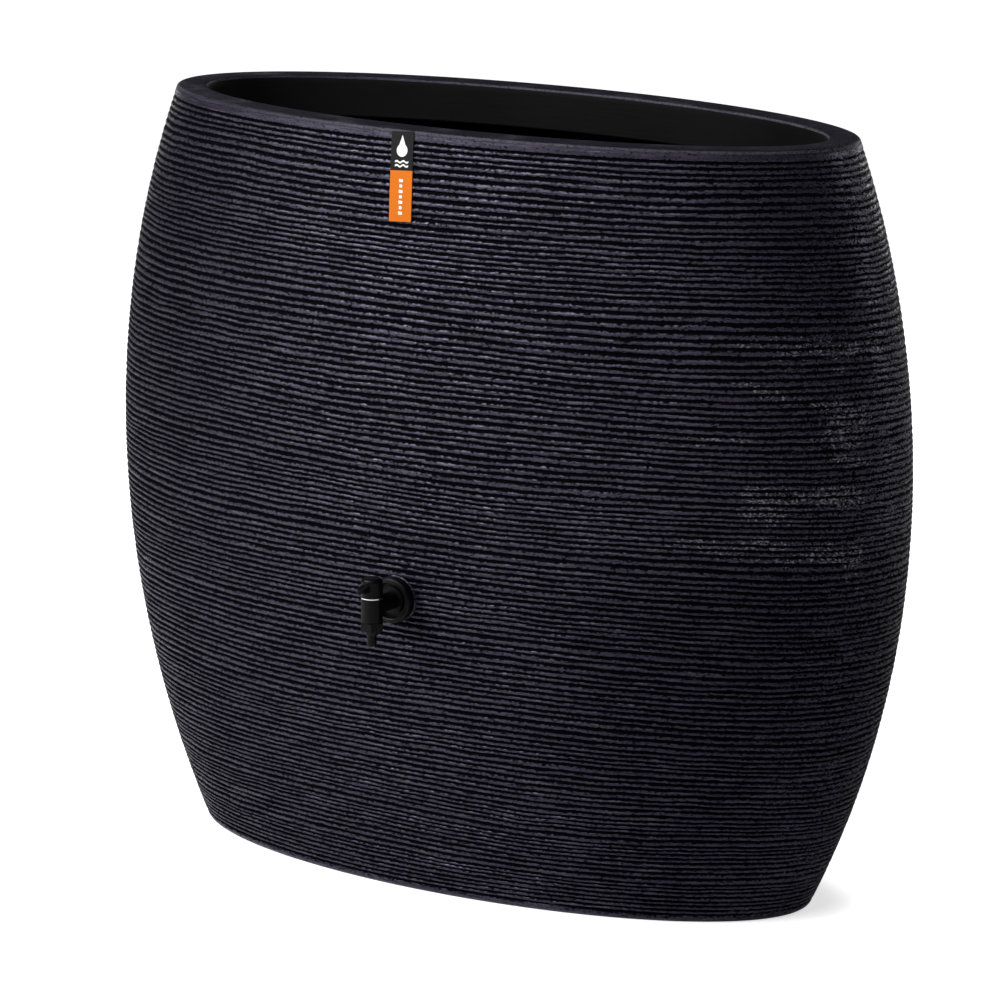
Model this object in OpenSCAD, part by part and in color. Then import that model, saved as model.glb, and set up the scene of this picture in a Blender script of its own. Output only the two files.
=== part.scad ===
// Oval rain barrel with a plug-valve tap: one moulded tank with a folded rim and
// an inner collar, a hanging label, and a tap clamped through a flat boss.
// Millimetres, +Z up. The origin is the middle of the tank's underside, the long
// side runs along X, and the tap faces -Y.

/* [Tank] */
// Height from the ground to the top of the rim
tank_h = 800; // [720:10:880]
// Length at the widest point of the belly
tank_len = 940; // [860:10:1020]
// Depth at the widest point of the belly
tank_depth = 416; // [380:2:460]
// Height of the widest point above the ground
belly_z = 440; // [400:10:480]
// Radius of the belly's upright arc
belly_r = 980; // [900:10:1200]
// Moulded wall
wall = 5; // [4:0.5:7]
// Floor
floor_t = 6; // [5:0.5:9]
// Radius where the side turns under into the floor
foot_r = 5; // [4:1:14]

/* [Rim] */
// Width of the rim's flat top
rim_w = 33; // [28:1:40]
// Thickness of the rim's top
rim_t = 5; // [4:0.5:7]
// How far the inner collar hangs below the rim's top
collar_h = 44; // [36:1:60]
// Radius of the rim's outer edge
rim_r = 3; // [3:0.5:6]

/* [Label] */
// Width of the label
label_w = 26.5; // [20:0.5:34]
// Length of the label
label_h = 90; // [70:1:100]
// Thickness of the label
label_t = 0.9; // [0.6:0.1:1.4]
// How far the label's middle lies to the side of the tap's middle
label_x = -9; // [-20:1:20]
// Lean of the label, its foot towards the right
label_lean = 3.6; // [-5:0.1:5]

/* [Tap] */
// Height of the tap's inlet above the ground
tap_z = 322; // [280:1:360]
// Distance from the boss to the tap's upright barrel
tap_reach = 43; // [40:1:60]
// Radius of the cover rose
rose_r = 24; // [23:0.5:28]
// Radius of the neck
neck_r = 9.3; // [8.5:0.1:9.4]
// Radius of the upright barrel
barrel_r = 11; // [11:0.1:12]
// Reach of the lever from the barrel's axis
lever_reach = 24; // [22:0.5:30]
// Outside radius of the hose spigot
spigot_r = 5; // [4.8:0.1:5.4]
// Length of the hose spigot
spigot_len = 11; // [9:0.5:16]

/* [Hidden] */
$fn = 96;
eps = 0.01;

// Tank: the plan is an ellipse at every height, and the upright outline is one arc.
belly_a = tank_len / 2;
depth_ratio = tank_depth / tank_len;
cut_over = 20;
function half_len(z) = belly_a - belly_r + sqrt(pow(belly_r, 2) - pow(z - belly_z, 2));
function half_depth(z) = half_len(z) * depth_ratio;
// Depth over length of the same outline moved in by d, taken at the belly
function inset_ratio(d) = (tank_depth / 2 - d) / (belly_a - d);
function arc_2d(c, r, from, to, n) =
    [for (i = [0:n]) let (t = from + (to - from) * i / n) c + r * [cos(t), sin(t)]];
rim_a = half_len(tank_h);
mouth_a = rim_a - rim_w;
mouth_ratio = (half_depth(tank_h) - rim_w) / mouth_a;
collar_t = 4.5;
collar_ratio = (half_depth(tank_h) - rim_w + collar_t) / (mouth_a + collar_t);
mouth_r = 3;
label_clear = 0.02;
label_drop = 1.5;

// Tap boss: flat inside and out, so that the washers seat square on a curved wall.
boss_r = 24;
boss_proud = 1.6;
boss_t = 10;
boss_y = half_depth(tap_z) + boss_proud;
hole_r = 10.8;

// Lengths along the tap's inlet axis, out from the boss face
washer_t = 2;
rose_h = 10;
rose_floor = 2.5;
rose_cup_r = 19;
shoulder_r = 14;
shoulder_t = 3.5;
shoulder_z = washer_t + rose_floor;
stem_r = 10.4;
stem_root = 9.6;
stem_pitch = 1.8;
stem_in = 30;
stem_bore = 6;
inner_washer_t = 2.5;
slip_t = 1.5;
nut_t = 9;
nut_af = 32;
nut_flange_r = 19;
nut_flange_t = 2.5;

// Heights on the tap's upright axis, up from the inlet's middle
barrel_top = 9.5;
barrel_low = -15.5;
chamber_r = 8.5;
chamber_low = -8;
port_r = 4.5;
tail_bore = 8.3;
tail_top = -9;
ring_t = 1;
ring_r = 11.3;
handle_low = barrel_top + ring_t + 0.2;
handle_top = 30.5;
plug_r = 8.42;
plug_low = -7.8;
plug_top = 9.2;
neck_stem_r = 6.02;
drive_w = 8;
drive_low = 12.6;
drive_top = 21;
seal_r = 0.75;
seal_path = 7.68;
groove_r = 0.8;
screw_r = 1.95;
screw_head_r = 3.6;
screw_head_low = 23;
screw_head_t = 2.4;
cap_r = 4.4;
cap_t = 1.2;
collar_af = 22;
collar_low = -24;
collar_top = barrel_low - 0.2;
cone_h = 5.5;
cone_r = 9;
thread_r = 8.15;
thread_root = 7.5;
thread_pitch = 1.3;
tail_seal_t = 1;

/* ---- Outlines ---- */

// One upright arc of the belly, moved out by d.
module belly_disc(d) {
    translate([belly_a - belly_r, belly_z]) circle(r = belly_r + d, $fn = 360);
}

// Half outline of the tank's outside, with an eased foot and an eased rim edge.
module outer_outline() {
    foot_a = half_len(0);
    intersection() {
        belly_disc(0);
        polygon([[0, 0], [foot_a - 0.6 * foot_r, 0], [foot_a - 0.1 * foot_r, 0.3 * foot_r],
            [foot_a + 0.9 * foot_r, 1.6 * foot_r], [belly_a + cut_over, 1.6 * foot_r],
            [belly_a + cut_over, tank_h - rim_r], [rim_a + 0.6 * rim_r, tank_h - rim_r], [rim_a - 0.3 * rim_r, tank_h - 0.3 * rim_r],
            [rim_a - rim_r, tank_h], [0, tank_h]]);
    }
}

// Half outline of the hollow under the rim, the outer arc moved in by the wall.
module cavity_outline() {
    foot_a = half_len(floor_t) - wall;
    intersection() {
        belly_disc(-wall);
        polygon([[0, floor_t], [foot_a - foot_r, floor_t], [foot_a, floor_t + 0.7 * foot_r],
            [foot_a + 2 * foot_r, floor_t + 3.2 * foot_r],
            [belly_a + cut_over, floor_t + 3.2 * foot_r],
            [belly_a + cut_over, tank_h - rim_t], [0, tank_h - rim_t]]);
    }
}

// Half outline of the mouth through the rim and collar, flared at its top edge.
module mouth_outline() {
    low = tank_h - collar_h - cut_over;
    polygon([[0, low], [mouth_a, low], [mouth_a, tank_h - mouth_r],
        [mouth_a + 0.3 * mouth_r, tank_h - 0.3 * mouth_r], [mouth_a + mouth_r, tank_h],
        [mouth_a + mouth_r, tank_h + cut_over], [0, tank_h + cut_over]]);
}

/* ---- Shared shapes ---- */

// An upright turned solid, squeezed along Y into an oval, built a quarter at a time.
module oval(ratio) {
    for (q = [0:3])
        scale([1, ratio, 1]) rotate(90 * q) rotate_extrude(angle = 90) children();
}

// A frame on the boss face, with its Z pointing out along the tap's inlet.
module on_boss() {
    translate([0, -boss_y, tap_z]) rotate([90, 0, 0]) children();
}

// A frame on the tap's upright axis, level with the inlet's middle.
module on_barrel() {
    translate([0, -boss_y - tap_reach, tap_z]) children();
}

module ring(r_out, r_in, from, to) {
    difference() {
        translate([0, 0, from]) cylinder(r = r_out, h = to - from);
        translate([0, 0, from - 1]) cylinder(r = r_in, h = to - from + 2);
    }
}

// A rod with round thread grooves, running up from z = 0.
module threaded_rod(crest, root, pitch, len) {
    n = floor(len / pitch);
    rotate_extrude() polygon(concat([[0, 0], [root, 0]],
        [for (i = [0:n - 1], p = [[root, 0.15], [crest, 0.45], [crest, 0.6], [root, 0.9]])
            [p[0], (i + p[1]) * pitch]],
        [[root, len], [0, len]]));
}

module hex_bar(across_flats, from, to) {
    translate([0, 0, from])
        cylinder(r = across_flats / sqrt(3), h = to - from, $fn = 6);
}

/* ---- Tank ---- */

module tank_shell() {
    color([0.08, 0.08, 0.09])
    difference() {
        union() {
            difference() {
                oval(depth_ratio) outer_outline();
                oval(inset_ratio(wall)) cavity_outline();
            }
            translate([0, 0, tank_h - collar_h]) oval(collar_ratio)
                square([mouth_a + collar_t, collar_h - rim_t / 2]);
            on_boss() translate([0, 0, -boss_t]) cylinder(r = boss_r, h = boss_t);
        }
        oval(mouth_ratio) mouth_outline();
        on_boss() translate([0, 0, -boss_t - cut_over])
            cylinder(r = hole_r, h = boss_t + 2 * cut_over);
    }
}

// The label follows the wall from the rim's edge down, a hair clear of the moulding.
module label_tag() {
    skin = label_clear + label_t;
    color("orange")
    intersection() {
        difference() {
            label_skin(skin);
            label_skin(label_clear);
        }
        translate([label_x, 0, tank_h - label_drop - label_h / 2])
            rotate([0, -label_lean, 0])
            translate([-label_w / 2, -tank_depth, -label_h / 2])
            cube([label_w, tank_depth, label_h]);
    }
}

// The tank's outside over the label's height, moved out by d.
module label_skin(d) {
    low = tank_h - label_h - 2 * label_drop - cut_over;
    oval((tank_depth / 2 + d) / (belly_a + d)) intersection() {
        belly_disc(d);
        translate([0, low]) square([belly_a + cut_over, tank_h - low]);
    }
}

/* ---- Tap fixings ---- */

module outer_washer() {
    color("dimgray") on_boss() ring(22, hole_r, 0, washer_t);
}

// A cup-shaped cover with a thick rounded wall, clamped by the body's shoulder.
module cover_rose() {
    edge = 3.5;
    color([0.05, 0.05, 0.05]) on_boss() translate([0, 0, washer_t])
    rotate_extrude() polygon(concat(
        [[hole_r, 0], [rose_r, 0]],
        arc_2d([rose_r - edge, rose_h - edge], edge, 0, 90, 5),
        [[rose_cup_r + 0.6, rose_h], [rose_cup_r, rose_h - 0.6],
            [rose_cup_r - 1, rose_floor], [hole_r, rose_floor]]));
}

module inner_washer() {
    color("dimgray") on_boss() ring(20, hole_r, -boss_t - inner_washer_t, -boss_t);
}

module slip_ring() {
    top = -boss_t - inner_washer_t;
    color("white") on_boss() ring(nut_flange_r, hole_r, top - slip_t, top);
}

module backnut() {
    top = -boss_t - inner_washer_t - slip_t;
    color([0.12, 0.12, 0.12]) on_boss()
    difference() {
        union() {
            translate([0, 0, top - nut_flange_t]) cylinder(r = nut_flange_r, h = nut_flange_t);
            hex_bar(nut_af, top - nut_t, top - nut_flange_t + eps);
        }
        translate([0, 0, top - nut_t - 1]) cylinder(r = stem_r + 0.1, h = nut_t + 2);
    }
}

/* ---- Tap body ---- */

// One moulding: threaded stem, shoulder, neck and upright barrel, bored for the plug.
module tap_body() {
    color([0.05, 0.05, 0.05])
    difference() {
        union() {
            on_boss() {
                translate([0, 0, -stem_in])
                    threaded_rod(stem_r, stem_root, stem_pitch, stem_in + shoulder_z);
                translate([0, 0, shoulder_z]) cylinder(r = shoulder_r, h = shoulder_t);
                translate([0, 0, shoulder_z]) cylinder(r = neck_r, h = tap_reach - shoulder_z);
            }
            on_barrel() translate([0, 0, barrel_low])
                cylinder(r = barrel_r, h = barrel_top - barrel_low);
        }
        on_boss() translate([0, 0, -stem_in - 1])
            cylinder(r = stem_bore, h = tap_reach + stem_in + 1);
        on_barrel() {
            translate([0, 0, chamber_low]) cylinder(r = chamber_r, h = 30);
            translate([0, 0, barrel_low - 1]) cylinder(r = port_r + 0.5, h = 20);
            translate([0, 0, barrel_low - 1]) cylinder(r = tail_bore, h = tail_top - barrel_low + 1);
        }
    }
}

/* ---- Valve ---- */

// A plug with an elbow port: side hole to bottom hole, turned a quarter to open.
module valve_plug() {
    color("ivory") on_barrel()
    difference() {
        union() {
            translate([0, 0, plug_low]) cylinder(r = plug_r, h = plug_top - plug_low);
            translate([0, 0, plug_top - eps]) cylinder(r = neck_stem_r, h = drive_low - plug_top + eps);
            translate([-drive_w / 2, -drive_w / 2, drive_low - eps])
                cube([drive_w, drive_w, drive_top - drive_low + eps]);
        }
        translate([0, 0, plug_low - 1]) cylinder(r = port_r, h = 1 - plug_low + port_r);
        rotate([0, 90, 0]) cylinder(r = port_r, h = plug_r + 1);
        for (z = [seal_low(), seal_high()]) seal_groove(z);
        translate([0, 0, drive_low - 1]) cylinder(r = screw_r + 0.03, h = 12);
    }
}

function seal_high() = 7;
function seal_low() = -6.2;

module seal_groove(z) {
    translate([0, 0, z]) rotate_extrude() translate([seal_path - groove_r, -groove_r])
        square([2 * groove_r + 1, 2 * groove_r]);
}

module plug_ring(z) {
    color("dimgray") on_barrel() translate([0, 0, z]) rotate_extrude()
        translate([seal_path, 0]) circle(r = seal_r);
}

// A bright ring that screws the plug down into the barrel.
module gland_ring() {
    color("silver") on_barrel() ring(ring_r, neck_stem_r + 0.1, barrel_top, barrel_top + ring_t);
}

/* ---- Handle ---- */

// A round cap with a short beak-shaped lever over the front of the tap.
module tap_handle() {
    color([0.05, 0.05, 0.05]) on_barrel()
    difference() {
        union() {
            handle_cap_body();
            handle_beak();
        }
        translate([-drive_w / 2 - 0.1, -drive_w / 2 - 0.1, handle_low - 1])
            cube([drive_w + 0.2, drive_w + 0.2, drive_top + 0.5 - handle_low + 1]);
        translate([0, 0, handle_low - 1]) cylinder(r = neck_stem_r + 0.4, h = drive_low - handle_low + 1.4);
        translate([0, 0, handle_low]) cylinder(r = screw_r + 0.2, h = 20);
        translate([0, 0, screw_head_low]) cylinder(r = cap_r + 0.05, h = 20);
    }
}

module handle_cap_body() {
    top_r = 4;
    rotate_extrude() polygon(concat(
        [[0, handle_low], [barrel_r - 0.4, handle_low], [barrel_r, handle_low + 0.4]],
        arc_2d([barrel_r - top_r, handle_top - top_r], top_r, 0, 90, 6),
        [[0, handle_top]]));
}

// The lever's plan is a tongue with a round tip, and its top slopes down to the tip.
module handle_beak() {
    tip_r = 4.6;
    beak_low = handle_low + 7;
    intersection() {
        translate([0, 0, beak_low]) union() {
            translate([0, tip_r - lever_reach, 0]) cylinder(r = tip_r, h = 16);
            translate([-tip_r, tip_r - lever_reach, 0]) cube([2 * tip_r, lever_reach - tip_r, 16]);
        }
        rotate([90, 0, 90]) translate([0, 0, -tip_r - 1]) linear_extrude(2 * tip_r + 2)
            polygon([[0, beak_low - 1], [-lever_reach - 1, beak_low + 1.2],
                [-lever_reach - 1, beak_low + 4.8], [-barrel_r, beak_low + 7], [0, beak_low + 8.5]]);
    }
}

module handle_screw() {
    head_top = screw_head_low + screw_head_t;
    color("silver") on_barrel()
    difference() {
        union() {
            translate([0, 0, screw_head_low]) cylinder(r = screw_head_r, h = screw_head_t);
            translate([0, 0, drive_low]) cylinder(r = screw_r, h = screw_head_low - drive_low + eps);
        }
        for (a = [0, 90]) rotate(a) translate([-2.2, -0.5, head_top - 1.2]) cube([4.4, 1, 2]);
    }
}

module screw_cap() {
    color([0.05, 0.05, 0.05]) on_barrel() translate([0, 0, handle_top - cap_t])
        cylinder(r = cap_r, h = cap_t);
}

/* ---- Hose tail ---- */

module tail_seal() {
    color("dimgray") on_barrel() ring(7.4, port_r + 0.6, tail_top - tail_seal_t, tail_top);
}

// Thread, hexagon, cone and plain spigot, with the waterway through the middle.
module hose_tail() {
    thread_top = tail_top - tail_seal_t;
    cone_low = collar_low - cone_h;
    tip = cone_low - spigot_len;
    color([0.05, 0.05, 0.05]) on_barrel()
    difference() {
        union() {
            translate([0, 0, collar_top - eps])
                threaded_rod(thread_r, thread_root, thread_pitch, thread_top - collar_top + eps);
            hex_bar(collar_af, collar_low, collar_top);
            translate([0, 0, cone_low]) cylinder(r1 = spigot_r + 0.6, r2 = cone_r, h = cone_h + eps);
            translate([0, 0, tip + 1]) cylinder(r = spigot_r, h = spigot_len - 1 + eps);
            translate([0, 0, tip]) cylinder(r1 = spigot_r - 0.7, r2 = spigot_r, h = 1 + eps);
        }
        translate([0, 0, tip - 1]) cylinder(r = spigot_r - 1.6, h = 60);
    }
}

/* ---- Nodes ---- */

tank_shell();
label_tag();
outer_washer();
cover_rose();
tap_body();
inner_washer();
slip_ring();
backnut();
valve_plug();
plug_ring(seal_high());  // plug_ring_upper
plug_ring(seal_low());  // plug_ring_lower
gland_ring();
tap_handle();
handle_screw();
screw_cap();
tail_seal();
hose_tail();
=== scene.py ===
"""An oval ribbed rain barrel with a small tap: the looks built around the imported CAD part.

All lengths are metres in the CAD frame: the origin is under the middle of the tank, +Z is up,
the long side runs along X, and the tap faces -Y.
"""

import math

import bmesh
import bpy
import numpy as np
from mathutils import Matrix, Vector


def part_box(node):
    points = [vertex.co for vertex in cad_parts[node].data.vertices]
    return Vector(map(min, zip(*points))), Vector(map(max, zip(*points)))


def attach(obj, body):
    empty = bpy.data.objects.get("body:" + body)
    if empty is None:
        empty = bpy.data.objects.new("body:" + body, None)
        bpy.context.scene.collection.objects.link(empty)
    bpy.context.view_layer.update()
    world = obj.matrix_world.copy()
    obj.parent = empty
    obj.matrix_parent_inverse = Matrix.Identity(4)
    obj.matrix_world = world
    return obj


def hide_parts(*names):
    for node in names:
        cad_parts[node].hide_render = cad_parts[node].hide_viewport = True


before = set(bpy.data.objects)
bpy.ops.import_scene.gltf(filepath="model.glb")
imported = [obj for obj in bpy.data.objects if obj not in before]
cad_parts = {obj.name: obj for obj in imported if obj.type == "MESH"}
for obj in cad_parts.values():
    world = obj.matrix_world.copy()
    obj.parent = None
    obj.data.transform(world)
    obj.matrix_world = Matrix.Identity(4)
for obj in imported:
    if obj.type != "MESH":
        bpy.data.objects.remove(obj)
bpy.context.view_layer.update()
MM = 0.001
rng = np.random.default_rng(20)

# ---- Driving dimensions, from the frame ----
tank_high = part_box("tank_shell")[1]
TANK_H = tank_high.z
BELLY_A = tank_high.x
BELLY_B = tank_high.y
DEPTH_RATIO = BELLY_B / BELLY_A
BELLY_R = 980 * MM
BELLY_Z = 440 * MM
WALL = 5 * MM
FLOOR_T = 6 * MM
FOOT_R = 4.6 * MM
RIM_W = 33 * MM
RIM_R = 2.6 * MM
RIM_IN_R = 3 * MM
RIM_T = 5 * MM
COLLAR_H = 44 * MM
COLLAR_T = 4.5 * MM
COLUMNS = 224

rose_low, rose_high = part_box("cover_rose")
washer_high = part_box("outer_washer")[1]
TAP_Z = (rose_low.z + rose_high.z) / 2
BOSS_Y = washer_high.y


def half_len(z):
    """Half the tank's length at a height, on the belly's arc."""
    return BELLY_A - BELLY_R + np.sqrt(BELLY_R**2 - (z - BELLY_Z) ** 2)


# ---- Camera ----
AIM = Vector((0, 0, TANK_H / 2))
AZIMUTH = math.radians(32.4)
ELEVATION = math.radians(12.8)
ROLL = math.radians(0.52)
DISTANCE = 5.36
LENS = 183.9
SENSOR = 36
SHIFT = (-0.005, -0.013)


def direction(azimuth, elevation):
    """The unit vector from the object towards an azimuth, 0 being the front, and an elevation."""
    flat = math.cos(elevation)
    return Vector((math.sin(azimuth) * flat, -math.cos(azimuth) * flat, math.sin(elevation)))


def make_camera():
    back = direction(AZIMUTH, ELEVATION)
    right = (-back).cross(Vector((0, 0, 1))).normalized()
    up = right.cross(-back)
    rolled_right = math.cos(ROLL) * right + math.sin(ROLL) * up
    rolled_up = math.cos(ROLL) * up - math.sin(ROLL) * right
    data = bpy.data.cameras.new("camera")
    data.lens = LENS
    data.sensor_width = SENSOR
    data.shift_x, data.shift_y = SHIFT
    data.clip_end = 50
    cam = bpy.data.objects.new("camera", data)
    turn = Matrix((rolled_right, rolled_up, back)).transposed().to_4x4()
    cam.matrix_world = Matrix.Translation(AIM + back * DISTANCE) @ turn
    bpy.context.scene.collection.objects.link(cam)
    bpy.context.scene.camera = cam


make_camera()


# ---- Material helpers ----
class Nodes:
    """A short way to write a material's node tree."""

    def __init__(self, name):
        self.mat = bpy.data.materials.new(name)
        self.mat.use_nodes = True
        self.tree = self.mat.node_tree
        self.shader = self.tree.nodes["Principled BSDF"]
        coords = self.tree.nodes.new("ShaderNodeTexCoord")
        self.coords = coords.outputs["Object"]

    def put(self, socket, value):
        if isinstance(value, bpy.types.NodeSocket):
            self.tree.links.new(value, socket)
        else:
            socket.default_value = value

    def set(self, **inputs):
        for name, value in inputs.items():
            self.put(self.shader.inputs[name.replace("_", " ")], value)

    def math(self, op, a, b=0.0):
        n = self.tree.nodes.new("ShaderNodeMath")
        n.operation = op
        self.put(n.inputs[0], a)
        self.put(n.inputs[1], b)
        return n.outputs[0]

    def times(self, first, *others):
        for other in others:
            first = self.math("MULTIPLY", first, other)
        return first

    def scaled(self, x, y, z):
        n = self.tree.nodes.new("ShaderNodeMapping")
        n.inputs["Scale"].default_value = (x, y, z)
        self.put(n.inputs["Vector"], self.coords)
        return n.outputs[0]

    def noise(self, scale, detail=2.0, rough=0.5, vector=None):
        n = self.tree.nodes.new("ShaderNodeTexNoise")
        n.inputs["Scale"].default_value = scale
        n.inputs["Detail"].default_value = detail
        n.inputs["Roughness"].default_value = rough
        self.put(n.inputs["Vector"], vector or self.coords)
        return n.outputs["Fac"]

    def ramp(self, value, low, high, to_low=0.0, to_high=1.0):
        n = self.tree.nodes.new("ShaderNodeMapRange")
        n.interpolation_type = "SMOOTHSTEP"
        self.put(n.inputs["Value"], value)
        for key, v in (("From Min", low), ("From Max", high), ("To Min", to_low), ("To Max", to_high)):
            n.inputs[key].default_value = v
        return n.outputs[0]

    def mix(self, fac, a, b):
        n = self.tree.nodes.new("ShaderNodeMix")
        n.data_type = "RGBA"
        self.put(n.inputs[0], fac)
        self.put(n.inputs[6], a)
        self.put(n.inputs[7], b)
        return n.outputs[2]

    def attribute(self, name):
        n = self.tree.nodes.new("ShaderNodeAttribute")
        n.attribute_name = name
        return n.outputs["Fac"]

    def axis(self, name):
        n = self.tree.nodes.new("ShaderNodeSeparateXYZ")
        self.put(n.inputs[0], self.coords)
        return n.outputs[name]

    def bump(self, height, strength, distance, after=None):
        n = self.tree.nodes.new("ShaderNodeBump")
        n.inputs["Strength"].default_value = strength
        n.inputs["Distance"].default_value = distance
        self.put(n.inputs["Height"], height)
        if after is not None:
            self.put(n.inputs["Normal"], after)
        self.put(self.shader.inputs["Normal"], n.outputs[0])
        return n.outputs[0]


# ---- Materials ----
WALL_DEEP = (0.0046, 0.0037, 0.0092, 1)
WALL_PALE = (0.0072, 0.0061, 0.0128, 1)
# painted shade, tinted blue, for the lower wall
WALL_FOOT_SHADE = (0.0044, 0.0032, 0.0135, 1)
# painted highlight on the crests
STREAK_GLINT = (0.068, 0.063, 0.080, 1)
# painted highlight round the rim's outer edge
LIP_HIGHLIGHT = (0.085, 0.083, 0.09, 1)
# painted glint specks
SPECK_GLINT = (0.17, 0.17, 0.18, 1)
# painted shade for the grooves and pits
GROOVE_SHADE = (0.0006, 0.0006, 0.0012, 1)
WALL_TINT = (0.77, 0.71, 1.0, 1)


def burst_bubbles(m, groove, x):
    """Small pits, most of them off the crests, and all over the right end: dented by the bump, their
    black is painted shade.
    """
    right_end = m.ramp(x, 0.26, 0.44)
    limit = m.math("SUBTRACT", 0.62, m.times(right_end, 0.08))
    spots = m.noise(1.0, 1.0, 0.5, m.scaled(480, 480, 620))
    off_crest = m.ramp(groove, 0.02, 0.5, 0.35, 1.0)
    where = m.math("MAXIMUM", off_crest, right_end)
    return m.times(m.ramp(m.math("SUBTRACT", spots, limit), 0.0, 0.05), where)


def painted_glint_specks(m, groove, x, z):
    """Painted glints: pale specks on the crests, in patches on the right of the belly."""
    patches = m.ramp(m.noise(1.0, 2.0, 0.5, m.scaled(9, 9, 30)), 0.47, 0.62)
    along = m.times(m.ramp(x, 0.24, 0.34), m.ramp(x, 0.468, 0.45))
    upright = m.times(m.ramp(z, 0.66, 0.60), m.ramp(z, 0.33, 0.38))
    zone = m.times(patches, along, upright)
    limit = m.math("SUBTRACT", 0.86, m.times(zone, 0.32))
    spots = m.noise(1.0, 1.0, 0.5, m.scaled(330, 330, 560))
    shown = m.ramp(m.math("SUBTRACT", spots, limit), 0.0, 0.06)
    return m.times(shown, m.ramp(groove, 0.7, 0.2))


def tank_material():
    """Combed black polyethylene: ragged grooves, brushed crests and small burst bubbles, with painted
    shade in the grooves and towards the foot and painted glints on the crests and lip.
    Places on the wall are in metres, and noise scales are per metre along X, Y and Z."""
    m = Nodes("tank_plastic")
    groove = m.attribute("groove")
    x, z = m.axis("X"), m.axis("Z")
    streaks_and_glints = m.noise(1.0, 3.0, 0.6, m.scaled(25, 25, 600))
    ragged = m.noise(1.0, 3.0, 0.7, m.scaled(240, 240, 520))
    clouds = m.noise(3.5, 3.0, 0.55)
    hairs = m.ramp(m.noise(1.0, 2.0, 0.5, m.scaled(14, 14, 520)), 0.57, 0.68, 0.0, 0.45)
    pits = burst_bubbles(m, groove, x)
    specks = painted_glint_specks(m, groove, x, z)
    rim = m.ramp(z, TANK_H - 6 * MM, TANK_H - 3 * MM)
    lip_low = m.ramp(z, TANK_H - 4.2 * MM, TANK_H - 2.8 * MM)
    lip_high = m.ramp(z, TANK_H - 0.3 * MM, TANK_H - 1.2 * MM)
    lip = m.times(lip_low, lip_high, m.ramp(x, -0.30, -0.02, 0.2, 1.0))

    base = m.mix(clouds, WALL_DEEP, WALL_PALE)
    # Painted shade: the wall turns darker and bluer towards the foot.
    base = m.mix(m.ramp(z, 0.46, 0.12, 0.0, 0.8), base, WALL_FOOT_SHADE)
    # Painted highlight: pale glints along the crests, weaker at the right end and high up; the same
    # noise also brushes the bump and roughness.
    glint_share = m.times(m.ramp(x, 0.28, 0.40, 1.0, 0.45), m.ramp(z, 0.66, 0.46, 0.62, 1.0))
    base = m.mix(m.times(m.ramp(streaks_and_glints, 0.50, 0.76, 0.0, 0.9), glint_share), base, STREAK_GLINT)
    # Painted highlight: a pale ragged band round the rim's outer edge, weaker at the left end.
    base = m.mix(m.times(lip, m.ramp(ragged, 0.38, 0.62, 0.1, 1.0)), base, LIP_HIGHLIGHT)
    # Painted highlight: the pale glint specks on the crests.
    base = m.mix(m.times(specks, 0.9), base, SPECK_GLINT)

    # Painted shade: the grooves, the pits and fine dark lines go near black and lose most of their
    # specular; the glint specks lighten it.
    edge = m.math("ADD", groove, m.times(m.math("SUBTRACT", ragged, 0.5), 1.9))
    dark = m.math("MAXIMUM", m.ramp(edge, -0.06, 0.46), hairs)
    dark = m.math("MAXIMUM", dark, m.times(pits, 0.95))
    dark = m.times(dark, m.ramp(specks, 0.0, 1.0, 1.0, 0.3))
    base = m.mix(dark, base, GROOVE_SHADE)
    duller = m.math("MAXIMUM", m.times(dark, 0.5), m.times(rim, 0.25))
    rough = m.math("ADD", m.ramp(streaks_and_glints, 0.2, 0.8, 0.24, 0.36), duller)
    m.set(Base_Color=base, Roughness=rough)

    # Painted shade: the specular fades towards the lower right end.
    shade_low_right = m.times(m.ramp(x, 0.06, 0.34), m.ramp(z, 0.47, 0.31))
    gloss = m.times(
        m.ramp(dark, 0.0, 1.0, 0.82, 0.03),
        m.ramp(rim, 0.0, 1.0, 1.0, 0.32),
        m.ramp(shade_low_right, 0.0, 1.0, 1.0, 0.55),
    )
    m.put(m.shader.inputs["Specular IOR Level"], gloss)
    m.shader.inputs["Specular Tint"].default_value = WALL_TINT
    n = m.bump(streaks_and_glints, 0.6, 0.0008)
    n = m.bump(ragged, 0.35, 0.0007, n)
    m.bump(m.times(pits, -1.0), 0.9, 0.0012, n)
    return m.mat


def collar_material():
    """The smooth inside of the mouth and tank, duller than the wall, and darker than it as painted
    shade.
    """
    m = Nodes("tank_inside")
    soft = m.noise(9.0, 3.0, 0.5)
    # Painted shade: the inside's colour is several times darker than the wall's.
    base = m.mix(soft, (0.0013, 0.0013, 0.0016, 1), (0.0021, 0.0021, 0.0025, 1))
    m.set(Base_Color=base, Roughness=m.ramp(soft, 0.2, 0.8, 0.5, 0.65))
    m.shader.inputs["Specular IOR Level"].default_value = 0.11
    m.bump(m.noise(1.0, 3.0, 0.6, m.scaled(20, 20, 260)), 0.3, 0.0006)
    return m.mat


def shade(color, share):
    """A colour for a node, lighter or darker by a share."""
    return tuple(share * c for c in color) + (1,)


def moulded_material(name, color, roughness=0.35, grain=0.00008):
    m = Nodes(name)
    soft = m.noise(60.0, 3.0, 0.5)
    base = m.mix(soft, shade(color, 0.8), shade(color, 1.25))
    m.set(Base_Color=base, Roughness=m.ramp(soft, 0.2, 0.8, roughness - 0.06, roughness + 0.08))
    m.bump(m.noise(1800.0, 2.0, 0.6), 0.3, grain)
    return m.mat


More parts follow.
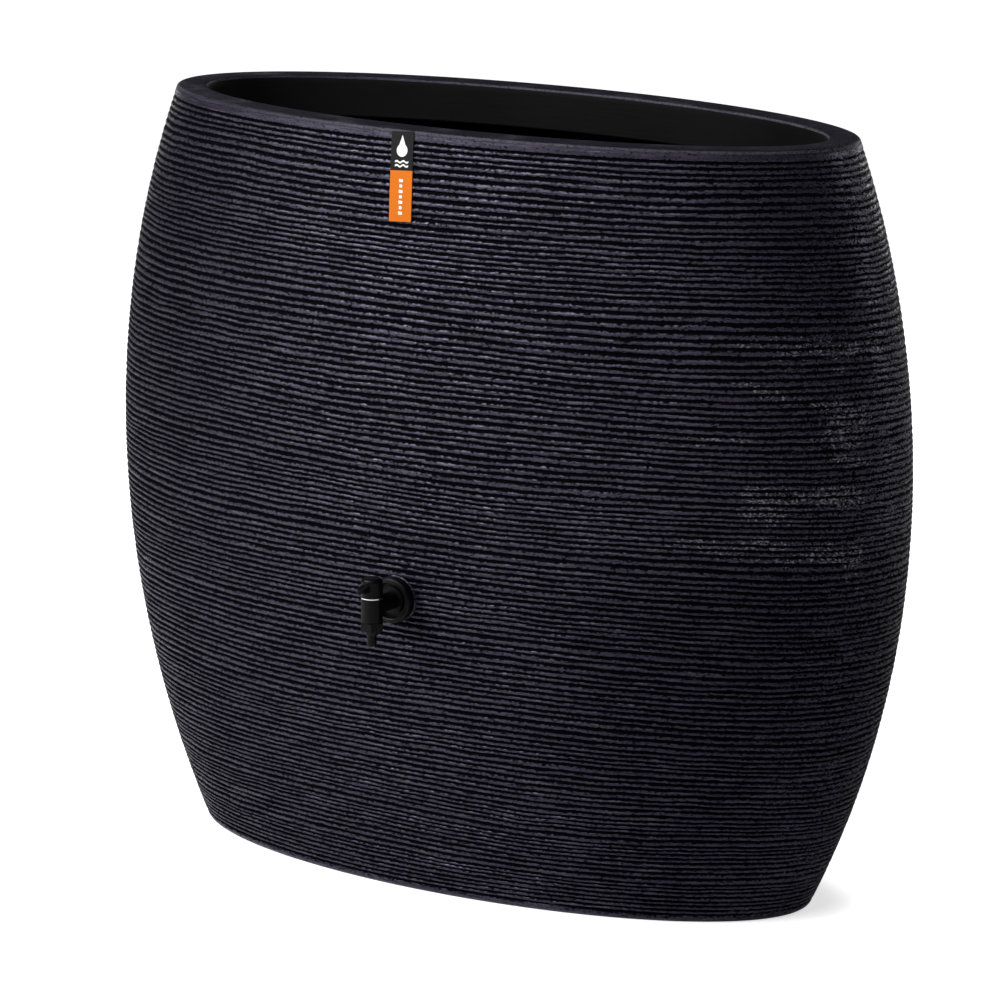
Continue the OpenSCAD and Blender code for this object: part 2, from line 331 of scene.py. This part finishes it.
def metal_material(name, color, roughness):
    m = Nodes(name)
    brushed = m.noise(1.0, 2.0, 0.6, m.scaled(300, 300, 6000))
    rough = m.ramp(brushed, 0.2, 0.8, roughness * 0.7, roughness * 1.4)
    m.set(Base_Color=tuple(color) + (1,), Roughness=rough)
    m.shader.inputs["Metallic"].default_value = 1.0
    m.bump(brushed, 0.1, 0.00005)
    return m.mat


def card_material(name, color):
    m = Nodes(name)
    fibre = m.noise(900.0, 3.0, 0.6)
    base = m.mix(fibre, shade(color, 0.93), shade(color, 1.05))
    m.shader.inputs["Specular IOR Level"].default_value = 0.15
    m.set(Base_Color=base, Roughness=m.ramp(fibre, 0.2, 0.8, 0.45, 0.6))
    m.bump(fibre, 0.15, 0.00006)
    return m.mat


# ---- Mesh helpers ----
def mesh_object(name, verts, faces, smooth=True, slots=()):
    mesh = bpy.data.meshes.new(name)
    mesh.from_pydata([tuple(v) for v in verts], [], [tuple(f) for f in faces])
    mesh.update()
    obj = bpy.data.objects.new(name, mesh)
    bpy.context.scene.collection.objects.link(obj)
    for mat in slots:
        mesh.materials.append(mat)
    mesh.polygons.foreach_set("use_smooth", [smooth] * len(mesh.polygons))
    return obj


def stacked_rings(rows, columns, close_low, close_high):
    """Faces that join rows of columns vertices, with a point closing each end if asked."""
    r = np.arange(rows - 1)[:, None] * columns
    c = np.arange(columns)[None, :]
    d = (c + 1) % columns
    quads = np.stack([r + c, r + d, r + columns + d, r + columns + c], axis=-1).reshape(-1, 4)
    faces = [tuple(q) for q in quads.tolist()]
    low = rows * columns
    if close_low:
        faces += [(low, (j + 1) % columns, j) for j in range(columns)]
    high = low + (1 if close_low else 0)
    top = (rows - 1) * columns
    if close_high:
        faces += [(high, top + j, top + (j + 1) % columns) for j in range(columns)]
    return faces


# ---- Tank ----
ANGLES = np.arange(COLUMNS) * 2 * np.pi / COLUMNS
RIB_LOW = 9 * MM
RIB_HIGH = TANK_H - 9 * MM
RIB_DEPTH = 1.8 * MM


def waves(z, count, turns, heights, power):
    """Smooth wandering over the wall, seamless round the tank, from a sum of random waves."""
    out = np.zeros((len(z), COLUMNS))
    for _ in range(count):
        m = rng.integers(1, turns + 1)
        q = rng.uniform(-1, 1) * 2 * np.pi / heights
        out += np.cos(m * ANGLES[None, :] + q * z[:, None] + rng.uniform(0, 2 * np.pi)) / m**power
    return out / math.sqrt(count)


def groove_heights():
    """Uneven heights of the combed grooves, closer together near the foot."""
    heights = []
    z = RIB_LOW
    while z < RIB_HIGH:
        heights.append(z)
        pitch = 5.3 + 1.5 * min(1.0, z / 0.28)
        z += pitch * rng.uniform(0.68, 1.32) * MM
    return np.array(heights)


def ribbed_rows():
    """Heights and depths of the rows that draw the ribs: six rows for each groove."""
    grooves = groove_heights()
    pitch = np.append(np.diff(grooves), 6.5 * MM)
    before = np.append(6.5 * MM, np.diff(grooves))
    share_up = np.array([-0.30, -0.13, 0.0, 0.13, 0.30, 0.5])
    shape = np.array([0.30, 0.84, 1.0, 0.78, 0.16, 0.0])
    n = len(grooves)
    reach = np.where(share_up[None, :] < 0, before[:, None], pitch[:, None])
    z = (grooves[:, None] + share_up[None, :] * reach).reshape(-1)
    share = np.tile(shape, n)
    depth = np.zeros((n, COLUMNS))
    for i in range(n):
        line = np.zeros(COLUMNS)
        for _ in range(7):
            m = rng.integers(1, 34)
            line += np.cos(m * ANGLES + rng.uniform(0, 2 * np.pi))
        depth[i] = np.clip(0.92 + 0.10 * line * rng.uniform(0.4, 1.0), 0.35, 1.15)
    right = np.clip((np.cos(ANGLES) - 0.72) / 0.28, 0, 1)
    left = np.clip((-np.cos(ANGLES) - 0.7) / 0.3, 0, 1)
    soften = right * 0.5 + left * 0.3
    depth = np.repeat(depth * (1 - soften), len(shape), axis=0)
    groove = share[:, None] * depth
    wander = 2.1 * MM * waves(z, 26, 7, 0.16, 0.35) + 0.45 * MM * waves(z, 36, 40, 0.035, 0.0)
    fade = np.clip((z - RIB_LOW) / 0.03, 0, 1) * np.clip((RIB_HIGH - z) / 0.03, 0, 1)
    lift = 0.16 * MM * waves(z, 24, 30, 0.012, 0.0)
    height = z[:, None] + wander * fade[:, None]
    return height, groove, np.clip(lift, -0.4 * MM, 0.0)


def tank_rows():
    """Every row of the skin's outside as (height, inset from the outer oval, groove), from the
    underside's middle out, up the ribbed wall and over the rim to the mouth's edge."""
    rows = []

    def plain(z, inset):
        rows.append((np.full(COLUMNS, z), np.full(COLUMNS, inset), np.zeros(COLUMNS)))

    foot_a = half_len(0.0)
    for f in (0.5, 0.9):
        plain(0.0, foot_a * (1 - f))
    for i in range(4):
        t = math.radians(-90 + 24 * i)
        plain(FOOT_R * (1 + math.sin(t)), FOOT_R * (1 - math.cos(t)) * 0.75)
    height, groove, lift = ribbed_rows()
    for i in range(len(height)):
        rows.append((height[i], groove[i] * RIB_DEPTH - lift[i], groove[i]))
    for z in (TANK_H - 4.6 * MM, TANK_H - 3.6 * MM):
        plain(z, 0.0)
    for i in range(6):
        t = math.radians(8 + 82 * i / 5)
        plain(TANK_H - RIM_R * (1 - math.sin(t)), RIM_R * (1 - math.cos(t)))
    for f in (0.35, 0.7):
        plain(TANK_H, RIM_R + f * (RIM_W - RIM_R - RIM_IN_R))
    for i in range(5):
        t = math.radians(90 * i / 4)
        plain(TANK_H - RIM_IN_R * (1 - math.cos(t)), RIM_W - RIM_IN_R * (1 - math.sin(t)))
    return rows


def inside_rows(rim_a, rim_b):
    """Half lengths, half depths and heights of the collar, the hollow behind it and the inside."""
    mouth = (rim_a - RIM_W, rim_b - RIM_W)
    low = TANK_H - COLLAR_H
    out = [(mouth[0], mouth[1], z) for z in np.linspace(TANK_H - 8 * MM, low + 2 * MM, 8)]
    for inset, z in ((0.0, 0.8), (1.0, 0.1), (3.6, 0.1), (4.5, 0.9)):
        out.append((mouth[0] + inset * MM, mouth[1] + inset * MM, low + z * MM))
    for z in (low + 12 * MM, TANK_H - RIM_T - 1 * MM):
        out.append((mouth[0] + COLLAR_T, mouth[1] + COLLAR_T, z))
    for inset in (RIM_W - 8 * MM, 12 * MM):
        out.append((rim_a - inset, rim_b - inset, TANK_H - RIM_T))
    for z in np.linspace(TANK_H - RIM_T - 3 * MM, FLOOR_T + FOOT_R, 34):
        a = float(half_len(z))
        out.append((a - WALL, a * DEPTH_RATIO - WALL, z))
    a = float(half_len(FLOOR_T))
    for inset, z in ((8, 2.5), (14, 0.4), (22, 0.0)):
        out.append((a - inset * MM, a * DEPTH_RATIO - inset * MM, FLOOR_T + z * MM))
    for f in (0.6, 0.25):
        out.append((a * f, a * DEPTH_RATIO * f, FLOOR_T))
    return out


def make_tank():
    rows = tank_rows()
    height = np.array([r[0] for r in rows])
    inset = np.array([r[1] for r in rows])
    groove = np.array([r[2] for r in rows])
    a = half_len(np.clip(height, 0, TANK_H))
    a = np.where(height >= TANK_H - 1e-9, float(half_len(TANK_H)), a)
    b = a * DEPTH_RATIO
    cos, sin = np.cos(ANGLES)[None, :], np.sin(ANGLES)[None, :]
    deep = inset > 40 * MM
    normal = np.stack([b * cos, a * sin], axis=-1)
    normal /= np.linalg.norm(normal, axis=-1, keepdims=True)
    x = np.where(deep, (a - inset) * cos, a * cos - inset * normal[..., 0])
    y = np.where(deep, (a - inset) * DEPTH_RATIO * sin, b * sin - inset * normal[..., 1])
    rim = slice(len(rows) - 7, len(rows))
    rim_a = float(half_len(TANK_H))
    rim_b = rim_a * DEPTH_RATIO
    x[rim] = (rim_a - inset[rim]) * cos
    y[rim] = (rim_b - inset[rim]) * sin
    outer = np.stack([x, y, height], axis=-1)
    inner = np.array([
        [(ia * math.cos(t), ib * math.sin(t), iz) for t in ANGLES]
        for ia, ib, iz in inside_rows(rim_a, rim_b)
    ])
    verts = np.concatenate([outer, inner]).reshape(-1, 3)
    count = len(outer) + len(inner)
    verts = np.concatenate([verts, [[0, 0, 0], [0, 0, FLOOR_T]]])
    faces = stacked_rings(count, COLUMNS, True, True)
    obj = mesh_object("tank_skin", verts, faces, slots=[tank_material(), collar_material()])
    values = np.zeros(len(verts), np.float32)
    values[: groove.size] = groove.reshape(-1)
    layer = obj.data.attributes.new("groove", "FLOAT", "POINT")
    layer.data.foreach_set("value", values)
    inside_from = (len(outer) - 1) * COLUMNS
    flags = [1 if p.vertices[0] >= inside_from else 0 for p in obj.data.polygons]
    obj.data.polygons.foreach_set("material_index", flags)
    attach(obj, "barrel")
    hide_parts("tank_shell")
    return obj


# ---- Label ----
LABEL_W = 26.5 * MM
LABEL_X = -9 * MM
LABEL_T = 0.8 * MM
LABEL_GAP = 0.05 * MM
LABEL_CORNER = 1.2 * MM
DROP_R = 6.4 * MM
LABEL_LEAN = math.radians(3.6)
LABEL_LOW = TANK_H - 91.3 * MM
LABEL_SPLIT = TANK_H - 40.5 * MM
LABEL_HIGH = TANK_H - 1.7 * MM


def wall_y(x, z, out):
    """The front wall's y, moved out by out."""
    a = float(half_len(z)) + out
    b = float(half_len(z)) * DEPTH_RATIO + out
    return -b * math.sqrt(1 - (x / a) ** 2)


def curved_card(name, outline, low_out, high_out, mat, steps=(10, 24)):
    """A thin sheet on the front wall, cut to an outline of (x, z) points by a fine grid."""
    bm = bmesh.new()
    middle = (LABEL_LOW + LABEL_HIGH) / 2
    lean = [(x - LABEL_X, z - middle) for x, z in outline]
    cos, sin = math.cos(LABEL_LEAN), math.sin(LABEL_LEAN)
    outline = [(LABEL_X + x * cos - z * sin, middle + x * sin + z * cos) for x, z in lean]
    bm.faces.new([bm.verts.new((x, 0, z)) for x, z in outline])
    xs = [p[0] for p in outline]
    zs = [p[1] for p in outline]
    for values, count, way in ((xs, steps[0], Vector((1, 0, 0))), (zs, steps[1], Vector((0, 0, 1)))):
        for i in range(1, count):
            at = min(values) + (max(values) - min(values)) * i / count
            whole = bm.verts[:] + bm.edges[:] + bm.faces[:]
            bmesh.ops.bisect_plane(bm, geom=whole, plane_co=way * at, plane_no=way)
    made = bmesh.ops.extrude_face_region(bm, geom=bm.faces[:])
    for v in (g for g in made["geom"] if isinstance(g, bmesh.types.BMVert)):
        v.co.y = -1.0
    for v in bm.verts:
        v.co.y = wall_y(v.co.x, v.co.z, high_out if v.co.y < -0.5 else low_out)
    bmesh.ops.recalc_face_normals(bm, faces=bm.faces[:])
    mesh = bpy.data.meshes.new(name)
    bm.to_mesh(mesh)
    bm.free()
    obj = bpy.data.objects.new(name, mesh)
    bpy.context.scene.collection.objects.link(obj)
    mesh.materials.append(mat)
    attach(obj, "barrel")
    return obj


def rounded_corners(low, high, radius, round_low, round_high):
    """A rectangle's outline on the label, with its lower or upper corners rounded."""
    left = LABEL_X - LABEL_W / 2
    right = LABEL_X + LABEL_W / 2
    out = []
    for cx, cz, start, is_round in (
        (left, low, 180, round_low),
        (right, low, 270, round_low),
        (right, high, 0, round_high),
        (left, high, 90, round_high),
    ):
        if not is_round:
            out.append((cx, cz))
            continue
        ox = cx + (radius if cx == left else -radius)
        oz = cz + (radius if cz == low else -radius)
        for i in range(5):
            t = math.radians(start + 22.5 * i)
            out.append((ox + radius * math.cos(t), oz + radius * math.sin(t)))
    return out


def make_label():
    black = card_material("label_black", (0.0035, 0.0035, 0.004))
    orange = card_material("label_orange", (0.58, 0.135, 0.0015))
    white = card_material("label_white", (0.85, 0.85, 0.84))
    outline = rounded_corners(LABEL_SPLIT, LABEL_HIGH, LABEL_CORNER, False, False)
    top = curved_card("label_top", outline, LABEL_GAP, LABEL_T, black, (8, 12))
    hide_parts("label_tag")
    outline = rounded_corners(LABEL_LOW, LABEL_SPLIT, LABEL_CORNER, True, False)
    curved_card("label_foot", outline, LABEL_GAP, LABEL_T, orange, (8, 12))
    make_print(white)


def make_print(white):
    """A plain drop, two waves and a row of short bars, a hair proud of the card."""
    under = LABEL_T * 0.9
    over = LABEL_T + LABEL_GAP
    drop_z = LABEL_SPLIT + 20 * MM
    drop = []
    for i in range(28):
        t = math.radians(-235 + 290 * i / 27)
        drop.append((LABEL_X + DROP_R * math.cos(t), drop_z + DROP_R * math.sin(t)))
    drop.append((LABEL_X, drop_z + 15 * MM))
    curved_card("label_drop", drop, under, over, white, (6, 8))
    for i, z in enumerate((9.5, 5.5)):
        xs = np.linspace(-8, 8, 25)
        upper = [(LABEL_X + x * MM, LABEL_SPLIT + (z + 0.9 * math.sin(x * 0.8)) * MM) for x in xs]
        lower = [(x, y - 1.7 * MM) for x, y in reversed(upper)]
        curved_card(f"label_wave_{i + 1}", upper + lower, under, over, white, (16, 2))
    for i in range(7):
        z = LABEL_LOW + (7 + 5.4 * i) * MM
        wide = 1.6 * MM if i % 2 else 2.3 * MM
        left, right = LABEL_X - wide, LABEL_X + wide
        mark = [(left, z), (right, z), (right, z + 2.6 * MM), (left + 0.2 * MM, z + 3.2 * MM)]
        curved_card(f"label_mark_{i + 1}", mark, under, over, white, (3, 2))


# ---- Tap ----
def give(node, mat):
    """A CAD node keeps its shape and takes this material."""
    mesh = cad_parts[node].data
    mesh.materials.clear()
    mesh.materials.append(mat)


def make_boss(mat):
    """The flat boss behind the tap's washer, part of the tank's moulding."""
    steps = 72
    outline = [(24.2, -9.0), (24.0, -0.7), (23.7, -0.25), (23.0, -0.02)]
    outline += [(12.0, 0.0), (11.0, -0.3), (10.9, -9.0)]
    turn = np.arange(steps) * 2 * np.pi / steps
    rows = [
        [(r * MM * math.cos(t), BOSS_Y - out * MM, TAP_Z + r * MM * math.sin(t)) for t in turn]
        for r, out in outline
    ]
    verts = np.array(rows).reshape(-1, 3)
    boss = mesh_object("tap_boss", verts, stacked_rings(len(rows), steps, False, False), slots=[mat])
    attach(boss, "barrel")


def make_rose_lip(mat):
    """A fine polished bead round the inner lip of the cover rose."""
    front = rose_low.y
    major, minor, steps, turns = 19.5 * MM, 0.42 * MM, 96, 10
    turn = np.arange(steps) * 2 * np.pi / steps
    rows = []
    for i in range(turns + 1):
        t = 2 * np.pi * i / turns
        r = major + minor * math.cos(t)
        y = front + minor * (1.02 + math.sin(t))
        rows.append([(r * math.cos(a), y, TAP_Z + r * math.sin(a)) for a in turn])
    verts = np.array(rows).reshape(-1, 3)
    faces = stacked_rings(turns + 1, steps, False, False)
    bead = mesh_object("rose_lip", verts, faces, slots=[mat])
    bmesh_clean(bead)
    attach(bead, "barrel")


def bmesh_clean(obj):
    """Join a seam's doubled points and turn every face outwards."""
    bm = bmesh.new()
    bm.from_mesh(obj.data)
    bmesh.ops.remove_doubles(bm, verts=bm.verts[:], dist=1e-6)
    bmesh.ops.recalc_face_normals(bm, faces=bm.faces[:])
    bm.to_mesh(obj.data)
    bm.free()


def make_tap():
    black = moulded_material("tap_black", (0.0022, 0.0022, 0.0026), 0.36)
    black.node_tree.nodes["Principled BSDF"].inputs["Specular IOR Level"].default_value = 0.12
    rubber = moulded_material("tap_rubber", (0.006, 0.006, 0.006), 0.7)
    nut = moulded_material("nut_black", (0.018, 0.018, 0.02), 0.45)
    nylon = moulded_material("slip_nylon", (0.75, 0.75, 0.72), 0.4)
    acetal = moulded_material("plug_acetal", (0.78, 0.76, 0.68), 0.35)
    bright = metal_material("ring_metal", (0.85, 0.85, 0.86), 0.16)
    steel = metal_material("screw_steel", (0.55, 0.55, 0.56), 0.3)
    for node in ("cover_rose", "tap_body", "tap_handle", "screw_cap", "hose_tail"):
        give(node, black)
    for node in ("outer_washer", "inner_washer", "plug_ring_upper", "plug_ring_lower", "tail_seal"):
        give(node, rubber)
    make_rose_lip(moulded_material("lip_black", (0.01, 0.01, 0.011), 0.16, 0.00002))
    give("backnut", nut)
    give("slip_ring", nylon)
    give("valve_plug", acetal)
    give("gland_ring", bright)
    give("handle_screw", steel)


# ---- Stage ----
FLOOR_SIZE = 30.0
# emission of the painted contact shadow round the foot
FLOOR_SHADOW = 0.58
FLOOR_FAR = 1.0
FLOOR_LIT = 0.0
WORLD_LIT = 0.02
LIGHTS_AIM = Vector((0, 0, 0.5))


def seen_or_lit(tree, seen, lit):
    """One value where the camera looks straight at a stage surface, another for the light it sends.
    seen may be a number or a socket."""
    path = tree.nodes.new("ShaderNodeLightPath")
    mix = tree.nodes.new("ShaderNodeMix")
    mix.data_type = "FLOAT"
    mix.inputs[2].default_value = lit
    if isinstance(seen, bpy.types.NodeSocket):
        tree.links.new(seen, mix.inputs[3])
    else:
        mix.inputs[3].default_value = seen
    tree.links.new(path.outputs["Is Camera Ray"], mix.inputs[0])
    return mix.outputs[0]


def make_stage():
    corners = [(FLOOR_SIZE * x, FLOOR_SIZE * y, 0) for x, y in ((-1, -1), (1, -1), (1, 1), (-1, 1))]
    floor = mesh_object("floor", corners, [(0, 1, 2, 3)], False)
    m = Nodes("floor_white")
    soft = m.noise(1.5, 2.0, 0.5)
    m.set(Base_Color=m.mix(soft, (0.80, 0.80, 0.80, 1), (0.82, 0.82, 0.82, 1)), Roughness=0.9)
    m.shader.inputs["Specular IOR Level"].default_value = 0.1
    m.shader.inputs["Emission Color"].default_value = (1, 1, 1, 1)
    # Painted shadow: round the foot the floor's emission drops to a grey contact shadow, rising to
    # full white farther out.
    foot_a = float(half_len(0.0))
    across = m.math("POWER", m.math("DIVIDE", m.axis("X"), foot_a), 2.0)
    along = m.math("POWER", m.math("DIVIDE", m.axis("Y"), foot_a * DEPTH_RATIO), 2.0)
    away = m.math("SQRT", m.math("ADD", across, along))
    glow_with_shadow = m.ramp(away, 1.02, 1.24, FLOOR_SHADOW, FLOOR_FAR)
    m.put(m.shader.inputs["Emission Strength"], seen_or_lit(m.tree, glow_with_shadow, FLOOR_LIT))
    floor.data.materials.append(m.mat)
    world = bpy.data.worlds.new("studio")
    world.use_nodes = True
    background = world.node_tree.nodes["Background"]
    background.inputs[0].default_value = (1, 1, 1, 1)
    world.node_tree.links.new(seen_or_lit(world.node_tree, 1.0, WORLD_LIT), background.inputs[1])
    bpy.context.scene.world = world
    bpy.context.scene.view_settings.view_transform = "Standard"


def area_light(name, azimuth, elevation, distance, size, power):
    """A soft light aimed at the belly from a direction in degrees, 0 azimuth being the front."""
    way = direction(math.radians(azimuth), math.radians(elevation))
    data = bpy.data.lights.new(name, "AREA")
    data.shape = "RECTANGLE"
    data.size, data.size_y = size
    data.energy = power
    light = bpy.data.objects.new(name, data)
    light.location = LIGHTS_AIM + way * distance
    light.rotation_euler = (-way).to_track_quat("-Z", "Y").to_euler()
    bpy.context.scene.collection.objects.link(light)


tank = make_tank()
make_boss(tank.data.materials[0])
make_label()
make_tap()
make_stage()
area_light("key", -40, 38, 3.4, (2.4, 1.2), 127)
area_light("low_left", -40, 5, 3.4, (2.0, 0.8), 16)
area_light("right_edge", 118, 20, 3.0, (0.8, 2.2), 18)
area_light("left_edge", -120, 20, 3.0, (0.6, 2.2), 8)
area_light("front", 4, 42, 3.4, (1.6, 0.8), 34)
area_light("back", 172, 14, 3.4, (2.4, 1.0), 22)
